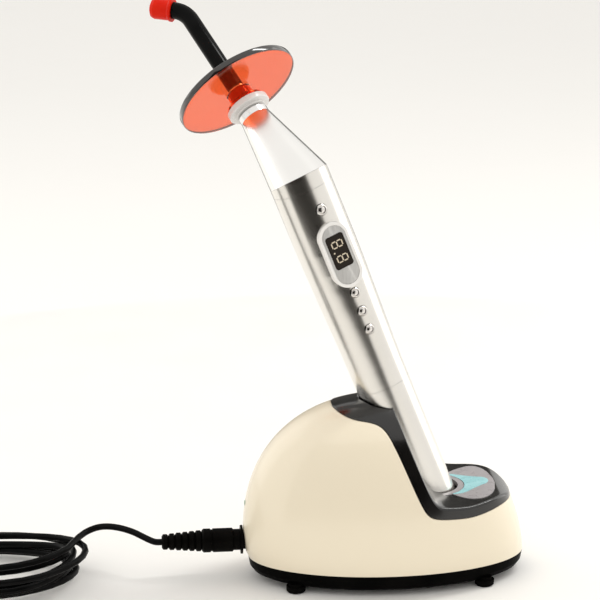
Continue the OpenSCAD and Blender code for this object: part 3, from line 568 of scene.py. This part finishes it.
def rim_z(a, inset):
    """The height at which the shell's outline at angle a meets the insert, by halving."""
    lo, hi = 22.0, 87.0
    for _ in range(24):
        m = (lo + hi) / 2
        if m < joint_z(edge_point(m, a, inset)[0]):
            lo = m
        else:
            hi = m
    return (lo + hi) / 2


def dome():
    """The shell with a softly broken rim, finer than its CAD solid."""
    sides, rows, brk = 288, 44, 0.3
    angles = [2 * math.pi * i / sides for i in range(sides)]
    rim, rim_in = [rim_z(a, 0) for a in angles], [rim_z(a, WALL) for a in angles]

    def ring(level, inset):
        return [edge_point(level(i), angles[i], inset) for i in range(sides)]

    rings = []
    for j in range(rows + 1):
        t = math.sin(math.pi / 2 * j / rows)
        rings.append(ring(lambda i: mix(SEAM, rim[i] - brk, t), 0))
    for a in (22.5, 45, 67.5, 90):
        a = math.radians(a)
        rings.append(ring(lambda i: rim[i] - brk + brk * math.sin(a), brk * (1 - math.cos(a))))
    rings.append(ring(lambda i: mix(rim[i], rim_in[i], 0.6), 1.2))
    for j in range(12, -1, -1):
        rings.append(ring(lambda i: mix(SEAM, rim_in[i], math.sin(math.pi / 2 * j / 12)), WALL))
    n, m = sides, len(rings)
    verts = [v for r in rings for v in r]
    faces = [(j * n + i, j * n + (i + 1) % n, ((j + 1) % m) * n + (i + 1) % n, ((j + 1) % m) * n + i)
             for j in range(m) for i in range(n)]
    obj = mesh_object("dome_shell", verts, faces, ["shell_ivory"], "base", "base_shell")
    cutters, k = [], 48
    for d, z in ((JACK_BORE, JACK_Z), (LAMP_BORE, LAMP_Z)):
        tube = [(x, d / 2 * math.cos(2 * math.pi * q / k), z + d / 2 * math.sin(2 * math.pi * q / k))
                for x in (-REAR - 5, -REAR + 9) for q in range(k)]
        f = [(q, (q + 1) % k, k + (q + 1) % k, k + q) for q in range(k)]
        f += [tuple(range(k - 1, -1, -1)), tuple(range(k, 2 * k))]
        cutters.append(mesh_object("cut_rear", tube, f, [], None))
    cut(obj, cutters)
    shade(obj, 50)


dome()


def lathe(name, frame_at, outline, mats, slots, body, replaced, n):
    """Turns a closed outline (radius, height) round z; slots gives each band's material."""
    verts, faces, which = [], [], []
    m = len(outline)
    for i in range(n):
        a = 2 * math.pi * i / n
        for r, z in outline:
            p = Vector((r * math.cos(a), r * math.sin(a), z)) * mm
            verts.append(tuple(frame_at @ p / mm))
    for i in range(n):
        for j in range(m):
            k, l = i * m + j, ((i + 1) % n) * m + j
            k2, l2 = i * m + (j + 1) % m, ((i + 1) % n) * m + (j + 1) % m
            faces.append((k, l, l2, k2))
            which.append(slots[j])
    obj = mesh_object(name, verts, faces, mats, body, *replaced)
    for p, s in zip(obj.data.polygons, which):
        p.material_index = s
    shade(obj, 30)
    return obj


SHIELD_AT, SHIELD_R, SHIELD_T, FLANGE_AT = 61.7, 30.0, 3.0, 52.5


def eye_shield():
    low, high, e = SHIELD_AT - SHIELD_T / 2, SHIELD_AT + SHIELD_T / 2, 0.45
    edge, bore_r, hub_r = SHIELD_R - e, 5.04, 6.3
    outline = [(bore_r, FLANGE_AT), (8.7, FLANGE_AT), (9.1, FLANGE_AT + 0.4), (9.1, FLANGE_AT + 1.6),
               (8.5, FLANGE_AT + 2), (hub_r, FLANGE_AT + 2.1), (5.95, low - 0.3), (hub_r, low)]
    # Slot 1 holds the painted shade: the rim's edge gets a near-black colour instead of the disc's
    # orange.
    clear, dark = 0, 1
    slots = [clear] * 8
    outline += [(mix(hub_r, edge, k / 8), low) for k in range(1, 9)]
    slots += [clear] * 7 + [dark]
    for turns, z in (((-60, -30, 0), low + e), ((0, 30, 60, 90), high - e)):
        for a in map(math.radians, turns):
            outline.append((edge + e * math.cos(a), z + e * math.sin(a)))
            slots.append(dark)
    slots[-1] = clear
    outline += [(mix(bore_r, edge, k / 8), high) for k in range(7, -1, -1)]
    slots += [clear] * 8
    obj = lathe("eye_shield", GUIDE, outline, ["shield_orange", "shield_rim_painted_shade"], slots,
                "shield", ["shield_disc"], 192)


eye_shield()


# ---------------------------------------------------------------- stage
def stage():
    me = bpy.data.meshes.new("floor")
    me.from_pydata([(-12, -12, 0), (12, -12, 0), (12, 12, 0), (-12, 12, 0)], [], [(0, 1, 2, 3)])
    floor = bpy.data.objects.new("floor", me)
    scene.collection.objects.link(floor)
    m = Mat("floor_paper", spec=0.25)
    m.vary((0.885, 0.872, 0.848), (0.89, 0.877, 0.853), 0.4)
    m.wear(0.5, 0.6, 0.05)
    me.materials.append(MATS["floor_paper"])

    def area(name, place, target, size, power, color=(1, 1, 1)):
        light = bpy.data.lights.new(name, "AREA")
        light.energy, light.color = power, color
        light.shape, light.size, light.size_y = "RECTANGLE", size[0], size[1]
        o = bpy.data.objects.new(name, light)
        scene.collection.objects.link(o)
        o.location = place
        o.rotation_euler = (Vector(target) - Vector(place)).to_track_quat("-Z", "Y").to_euler()

    area("rim_right", (0.9, 0.35, 0.45), (0, 0, 0.12), (0.7, 0.9), 2.0, (1, 0.99, 0.97))
    area("rim_left", (-0.85, 0.45, 0.5), (0, 0, 0.12), (0.7, 0.9), 1.7, (1, 0.99, 0.96))
    area("strip", (0.45, 0.13, 0.95), (-0.09, 0.05, 0.24), (0.10, 0.5), 2.6, (1, 1, 0.98))

    def screen(name, az0, az1, r0, r1, height, dark, light):
        """Felt that only reflections see: it stands out of the picture and casts no shadow."""
        verts, faces = [], []
        n, rows = 24, 6
        for i in range(n + 1):
            az = math.radians(mix(az0, az1, i / n))
            for j in range(rows + 1):
                r = mix(r0, r1, j / rows)
                verts.append((r * math.cos(az) - 0.02, r * math.sin(az), 0.001 + height * j / rows))
        for i in range(n):
            for j in range(rows):
                k = i * (rows + 1) + j
                faces.append((k, k + 1, k + rows + 2, k + rows + 1))
        me = bpy.data.meshes.new(name)
        me.from_pydata(verts, [], faces)
        obj = bpy.data.objects.new(name, me)
        scene.collection.objects.link(obj)
        m = Mat(name + "_felt", spec=0.0)
        m.vary(dark, light, 0.05)
        m.wear(0.8, 0.95, 0.05)
        me.materials.append(MATS[name + "_felt"])
        obj.visible_camera = obj.visible_transmission = obj.visible_diffuse = obj.visible_shadow = False

    # one on the photographer's side, and a paler one behind, which the back of the tube shows
    screen("screen", -146, -62, 0.26, 0.56, 0.62, (0.012, 0.011, 0.010), (0.02, 0.018, 0.016))
    screen("far_screen", 68, 112, 0.5, 0.8, 0.62, (0.10, 0.098, 0.094), (0.13, 0.127, 0.122))

    world = bpy.data.worlds.new("studio")
    scene.world = world
    world.use_nodes = True
    bg = world.node_tree.nodes["Background"]
    bg.inputs["Strength"].default_value = 0.965
    world.cycles.sampling_method = "NONE"
    bg.inputs["Color"].default_value = (1.0, 0.985, 0.955, 1)


stage()
scene.view_settings.view_transform = "Standard"
